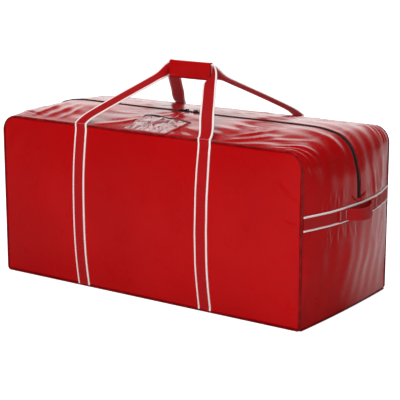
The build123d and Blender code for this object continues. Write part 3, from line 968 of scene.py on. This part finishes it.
def make_end_webbing():
    """The band across each end and the grab loop sewn over it."""
    for side_x in (1, -1):
        name = side_name(side_x)
        y = np.linspace(-0.222, 0.222, 61)
        points = strip.at(side_x * (S_BAND + ACROSS_WEB), y[:, None], WEB_T / 2 + 0.0006)
        band = web_sheet(f"end_band_{name}_webbing", points, outward=(side_x, 0, 0))
        declare(band, "webbing_red", "root", f"end_band_{name}")

        y = np.linspace(-LOOP_SEWN, LOOP_SEWN, 61)
        narrow = ACROSS_WEB * LOOP_SHARE
        inside = np.clip(1 - (y / LOOP_FREE) ** 2, 0, 1)
        lift = 1.5 * WEB_T + 0.0009 + LOOP_BOW * inside**1.15
        tilt = 1 + 0.10 * np.sin(narrow / WEB_WIDTH * pi)
        points = strip.at(side_x * (S_BAND + narrow), y[:, None], lift[:, None] * tilt)
        points[..., 2] -= LOOP_DROP * inside[:, None]
        loop = web_sheet(f"end_loop_{name}_webbing", points, "plain_webbing", (side_x, 0, 0))
        declare(loop, "webbing_red", "root", f"end_loop_{name}")


# ---- Zip ----
S_ZIP_END = S_CORNER_END + CORNER_Z - 0.3
TOOTH_PITCH = 0.0026
TAPE_LIFT = -WALL - 0.0006
COIL_RISE = 0.0025


def tooth(side_y):
    """One turn of the coil as (s, y, lift) rings, from its root in the tape to its rounded head."""
    rings = []
    for y, half_s, low, high in (
        (0.0052, 0.00035, -0.0006, 0.0004),
        (0.0042, 0.00062, -0.0006, 0.0015),
        (0.0010, 0.00068, -0.0002, 0.0023),
        (-0.0004, 0.00085, 0.0000, 0.0024),
        (-0.0012, 0.00050, 0.0004, 0.0017),
    ):
        middle, half = (low + high) / 2, (high - low) / 2
        rings.append([
            (half_s * cos(a), side_y * y, middle + half * sin(a)) for a in np.arange(6) * pi / 3
        ])
    return np.array(rings)


def make_zip():
    """Tape and coil of each quarter of the zip, the front's teeth between the back's."""
    for side_x, side_y in SIDES:
        name = f"zip_{face_name(side_y)}_{side_name(side_x)}"
        s = side_x * np.linspace(0, S_ZIP_END, 160)
        y = side_y * np.array([0.0004, 0.0026, 0.0054, 0.0066, 0.0078, 0.0110, 0.0160])
        tape_lift = TAPE_LIFT + COIL_RISE * np.clip((0.0078 - np.abs(y)) / 0.0022, 0, 1)
        tape = strip.at(s[:, None], y, tape_lift).reshape(-1, 3)
        tape_faces = grid_faces(len(s), len(y))

        shape = tooth(side_y)
        rings, around = shape.shape[:2]
        count = int(S_ZIP_END / TOOTH_PITCH)
        starts = side_x * (np.arange(count) + (0.25 if side_y < 0 else 0.75)) * TOOTH_PITCH
        tooth_s = starts[:, None, None] + shape[..., 0]
        tooth_y, tooth_lift = (np.broadcast_to(shape[..., k], tooth_s.shape) for k in (1, 2))
        teeth = strip.at(tooth_s, tooth_y, TAPE_LIFT + COIL_RISE + tooth_lift).reshape(-1, 3)
        last = (rings - 1) * around
        head = [(last, last + 1, last + 2, last + 3), (last, last + 3, last + 4, last + 5)]
        one = np.concatenate([ring_faces(rings, around)[:, ::-1], head])
        if side_x * side_y > 0:
            one = one[:, ::-1]
        firsts = len(tape) + np.arange(count) * rings * around
        tooth_faces = (one[None] + firsts[:, None, None]).reshape(-1, 4)

        piece = new_piece(
            name, np.concatenate([tape, teeth]), np.concatenate([tape_faces, tooth_faces]),
            "tape", "coil", face_finish=np.repeat([0, 1], [len(tape_faces), len(tooth_faces)]),
        )
        declare(piece, "zip_black", None, f"zip_chain_{face_name(side_y)}",
                f"zip_end_chain_{side_name(side_x)}")
        bend_with_flap(piece)


def make_end_patches():
    """Patch over each lower end of the zip: a tip at the band and a wing to each side."""
    low_s = S_BAND - WEB_WIDTH / 2 - 0.0010
    rise = np.linspace(0, 1, 17)[:, None]
    across = np.linspace(-1, 1, 33)
    half = np.interp(rise, [0, 0.3, 0.7, 1], [0.005, 0.020, 0.031, 0.036])
    for side_x in (1, -1):
        s = side_x * (low_s - rise * (0.010 + 0.012 * np.abs(across) ** 1.5))
        edge = np.maximum(np.abs(across), 1 - 2 * np.minimum(rise, 1 - rise))
        points = strip.at(s, across * half, 0.0022 + 0.0010 * (1 - edge**4))
        name = f"zip_patch_{side_name(side_x)}"
        piece = grid_piece(name, points, "plain_webbing", (side_x, 0, 0), 0.0014)
        declare(piece, "vinyl_red", "root", f"zip_end_patch_{side_name(side_x)}")


# ---- Name pocket ----
POCKET_WIDER = 0.004  # than its CAD frame, at each side
WINDOW_WIDER = 0.006


def make_pocket():
    """Name pocket on the lid: a frame round three sides, a crinkled window and a bound mouth."""
    half = id_high.x + POCKET_WIDER
    half_window = window_high.x + WINDOW_WIDER
    y_window = (window_low.y - 0.001, id_high.y)
    x_cuts = np.concatenate([
        np.linspace(-half, -half_window, 5),
        np.linspace(-half_window, half_window, 41)[1:],
        np.linspace(half_window, half, 5)[1:],
    ])
    y_cuts = np.concatenate([
        np.linspace(id_low.y, y_window[0], 5), np.linspace(y_window[0], id_high.y, 31)[1:],
    ])
    xx, yy = grid(x_cuts, y_cuts)
    points = strip.at(xx, yy, 0.0014)
    faces = grid_faces(len(x_cuts), len(y_cuts))
    centres = points.reshape(-1, 3)[faces].mean(axis=1)
    keep = (np.abs(centres[:, 0]) > half_window) | (centres[:, 1] < y_window[0])
    border = new_piece("id_pocket_frame", points, faces[keep], "vinyl")
    shell = border.modifiers.new("thickness", "SOLIDIFY")
    shell.thickness = 0.0012
    soften(border, 0.0004)
    declare(border, "vinyl_red", "front_flap", "id_frame")

    x = np.linspace(-half_window, half_window, 91)
    y = np.linspace(y_window[0], id_high.y, 61)
    xx, yy = grid(x, y)
    u, v = xx / half_window, (yy - y.mean()) / (y[-1] - y[0]) * 2
    rim = np.clip((1 - u**6) * (1 - np.clip(-v, 0, 1) ** 6), 0, 1)
    lines = scattered(51, 26, (-0.09, 0.05), (y[0], y[-1]), (24, 30), (0.03, 0.08),
                      0.0030, 0.0042)
    crumple = 0.0012 * soft_noise(xx, yy, 0.04, 52) + folds(xx, yy, lines)
    lift = 0.0010 + rim * (0.0036 + crumple)
    points = strip.at(xx, yy, np.maximum(lift, 0.0006))
    window = grid_piece("id_pocket_window", points, "window", (0, 0, 1), 0.0004)
    declare(window, "clear_window", "front_flap", "id_window")

    # The black band is drawn wider than the binding, out past the pocket's mouth where the open
    # mouth lies in shade: partly the real black binding, partly painted shade.
    x = np.linspace(-half, half, 41)
    y = np.linspace(id_high.y - 0.0030, id_high.y + 0.0065, 9)
    xx, yy = grid(x, y)
    gape = (1 - (xx / half) ** 4) * (1 - 0.35 * xx / half)
    hump = 0.0012 + (0.0012 + 0.0042 * gape) * np.sin((yy - y[0]) / (y[-1] - y[0]) * pi)
    points = strip.at(xx, yy, hump)
    binding = grid_piece("id_pocket_binding_and_mouth_shade", points, "binding", (0, 0, 1), 0.001)
    declare(binding, "binding_black", "front_flap", "id_binding")


# ---- Stitching ----
STITCH = 0.0036
STITCH_GAP = 0.0022
STITCH_ROWS = (-0.0165, 0.0165)  # across the webbing, beside its edges


def stitches(name, surface, a, b, lift, finish="red_thread", radius=0.00035):
    """Row of sewn stitches along flat coordinates of a surface, each sunk in at its two ends."""
    points = surface.at(a, b, lift)
    normals = surface.at(a, b, lift + 0.001) - points
    run = run_along(points)
    starts = np.arange(STITCH_GAP, run[-1] - STITCH, STITCH + STITCH_GAP)

    def along(field, where):
        return np.stack([np.interp(where, run, field[:, k]) for k in range(3)], axis=-1)

    centres = [along(points, starts + share * STITCH) for share in (0.0, 0.25, 0.75, 1.0)]
    up = unit(along(normals, starts))
    side = np.cross(unit(centres[3] - centres[0]), up)
    sides = 5
    verts = []
    for centre, size, rise in zip(centres, (0.35, 1.0, 1.0, 0.35), (-0.3, 0.9, 0.9, -0.3)):
        for angle in np.arange(sides) * 2 * pi / sides:
            round_thread = (side * cos(angle) + up * sin(angle)) * size
            verts.append(centre + radius * (up * rise + round_thread))
    walls = ring_faces(len(centres), sides)
    firsts = np.arange(len(starts)) * len(centres) * sides
    faces = (walls[None] + firsts[:, None, None]).reshape(-1, 4)
    return new_piece(name, np.stack(verts, axis=1), faces, finish)


def make_stitching():
    """Rows beside the zip and the edges of the straps and bands, and across the grab loops."""

    def sew(*row):
        declare(stitches(*row), "webbing_red", "root")

    for side_x, side_y in SIDES:
        surface = front if side_y < 0 else back
        name = f"{face_name(side_y)}_{side_name(side_x)}"
        z = np.linspace(strap_low.z + 0.002, panel_high.z - 0.03, 120)
        for row, offset in enumerate(STITCH_ROWS):
            sew(f"strap_stitches_{name}_{row}", surface, side_x * STRAP_X + offset, z,
                WEB_T + 0.0004)
        s = side_x * np.linspace(0.001, S_BAND - 0.03, 200)
        piece = stitches(f"zip_stitches_{name}", strip, s, side_y * (ZIP_EDGE + 0.0035), 0.0001)
        bend_with_flap(piece)
    for side_x in (1, -1):
        name = side_name(side_x)
        s = side_x * np.linspace(S_BAND - 0.0135, S_BAND + 0.0135, 20)
        for row, y in enumerate((-0.094, -0.070, 0.070, 0.094)):
            sew(f"loop_stitches_{name}_{row}", strip, s, y, 2 * WEB_T + 0.0010, "white_thread",
                0.0005)
        for row, offset in enumerate(STITCH_ROWS):
            for part, ends in enumerate(((-0.22, -0.101), (0.101, 0.22))):
                sew(f"band_stitches_{name}_{row}{part}", strip, side_x * (S_BAND + offset),
                    np.linspace(*ends, 40), WEB_T + 0.0007)


# ---- CAD nodes that stay: piping, sliders, pulls, touch strips ----
def finish_cad_nodes():
    for name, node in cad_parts.items():
        if node.hide_render:
            continue
        finish = "piping" if "piping" in name else "touch" if "strip" in name else "metal"
        node.data.materials.clear()
        node.data.materials.append(materials[finish])
        if finish == "metal":
            soften(node, 0.00035, limit_method="ANGLE")


# ---- Floor, light and camera ----
EVEN_LIGHT = 0.35  # strength of the world where it lights the bag directly
FLOOR_SEEN = 0.72  # what the floor adds where the camera sees it, to bring it to white


def make_world(scene):
    """White where it is seen, even where it lights, and a low bright backdrop in reflections."""
    world = bpy.data.worlds.new("studio")
    scene.world = world
    n = Nodes(world)
    world.cycles.sampling_method = "NONE"
    background = n.tree.nodes["Background"]
    background.inputs["Color"].default_value = (1, 1, 1, 1)
    rays = n.add("ShaderNodeLightPath").outputs
    glossy = rays["Is Glossy Ray"]
    direction = n.add("ShaderNodeTexCoord").outputs["Generated"]
    glow = n.backdrop(direction, (-0.53, 0.85, 0), (0.58, 0.92), (0.02, 1.12))
    fade = n.ramp(n.axis(direction, 2), 0.3, 0.62, 1.0, 0.1)
    reflected = n.maths("MULTIPLY", n.maths("MULTIPLY", glow, fade), glossy)
    lighting = n.maths("MULTIPLY", n.maths("SUBTRACT", 1.0, glossy), EVEN_LIGHT)
    seen = n.maths("MAXIMUM", rays["Is Camera Ray"], rays["Is Transmission Ray"])
    strength = n.maths("MAXIMUM", seen, n.maths("ADD", reflected, lighting))
    n.put(strength, background.inputs["Strength"])


def make_floor():
    """White floor that keeps the shadow, with the backdrop's glow in its reflections."""
    bpy.ops.mesh.primitive_plane_add(size=30, location=(0, 0, -0.0005))
    floor = bpy.context.object
    floor.name = "floor"
    n = Finish("floor_white")
    rays = n.add("ShaderNodeLightPath").outputs
    glossy = rays["Is Glossy Ray"]
    from_end = n.vector_maths("SUBTRACT", n.place, (0.2, -0.22, 0))["Vector"]
    way = n.vector_maths("NORMALIZE", from_end)["Vector"]
    glow = n.backdrop(way, (-0.1, 0.995, 0), (0.44, 0.9), (0.01, 0.5))
    shown = n.maths("MULTIPLY", rays["Is Camera Ray"], FLOOR_SEEN)
    emission = n.maths("ADD", shown, n.maths("MULTIPLY", glossy, glow))
    n.put(emission, n.shader.inputs["Emission Strength"])
    n.shader.inputs["Emission Color"].default_value = (1, 1, 1, 1)
    white = n.mix(n.noise(0.7), grey(0.93), grey(0.95))
    n.finish(n.mix(glossy, white, grey(0.03)), 0.9)
    n.owner.cycles.emission_sampling = "NONE"
    floor.data.materials.append(n.owner)


def softbox(scene, name, place, target, size, power):
    data = bpy.data.lights.new(name, "AREA")
    data.shape = "RECTANGLE"
    data.size, data.size_y = size
    data.energy = power
    light = bpy.data.objects.new(name, data)
    scene.collection.objects.link(light)
    light.location = place
    light.rotation_euler = (Vector(target) - Vector(place)).to_track_quat("-Z", "Y").to_euler()
    light.visible_glossy = False


# The camera fitted to the photo's corners; its angles are in radians.
CAMERA_LENS = 119.25
CAMERA_PLACE = (2.109, -2.957, 1.081)
CAMERA_DOWN = 0.230
CAMERA_TURN = 0.613


def make_stage():
    scene = bpy.context.scene
    make_world(scene)
    make_floor()
    softbox(scene, "softbox_top", (0.2, 0.5, 2.6), (0.1, 0, 0.4), (2.2, 1.2), 18)
    softbox(scene, "softbox_front", (0.72, -3.4, 2.2), (0, 0, 0.25), (1.6, 1.6), 96)
    softbox(scene, "softbox_back", (-0.6, 3.4, 2.4), (0, 0, 0.2), (1.8, 1.4), 55)

    camera = bpy.data.cameras.new("camera")
    camera.sensor_width = 36
    camera.lens = CAMERA_LENS
    view = bpy.data.objects.new("camera", camera)
    scene.collection.objects.link(view)
    view.location = CAMERA_PLACE
    view.rotation_euler = (pi / 2 - CAMERA_DOWN, 0, CAMERA_TURN)
    camera.clip_end = 100
    scene.camera = view
    scene.view_settings.view_transform = "Standard"


make_panels()
make_lid()
make_ends()
make_base()
make_base_piping()
make_straps()
make_handles()
make_grip()
make_end_webbing()
make_zip()
make_end_patches()
make_pocket()
make_stitching()
finish_cad_nodes()
make_stage()
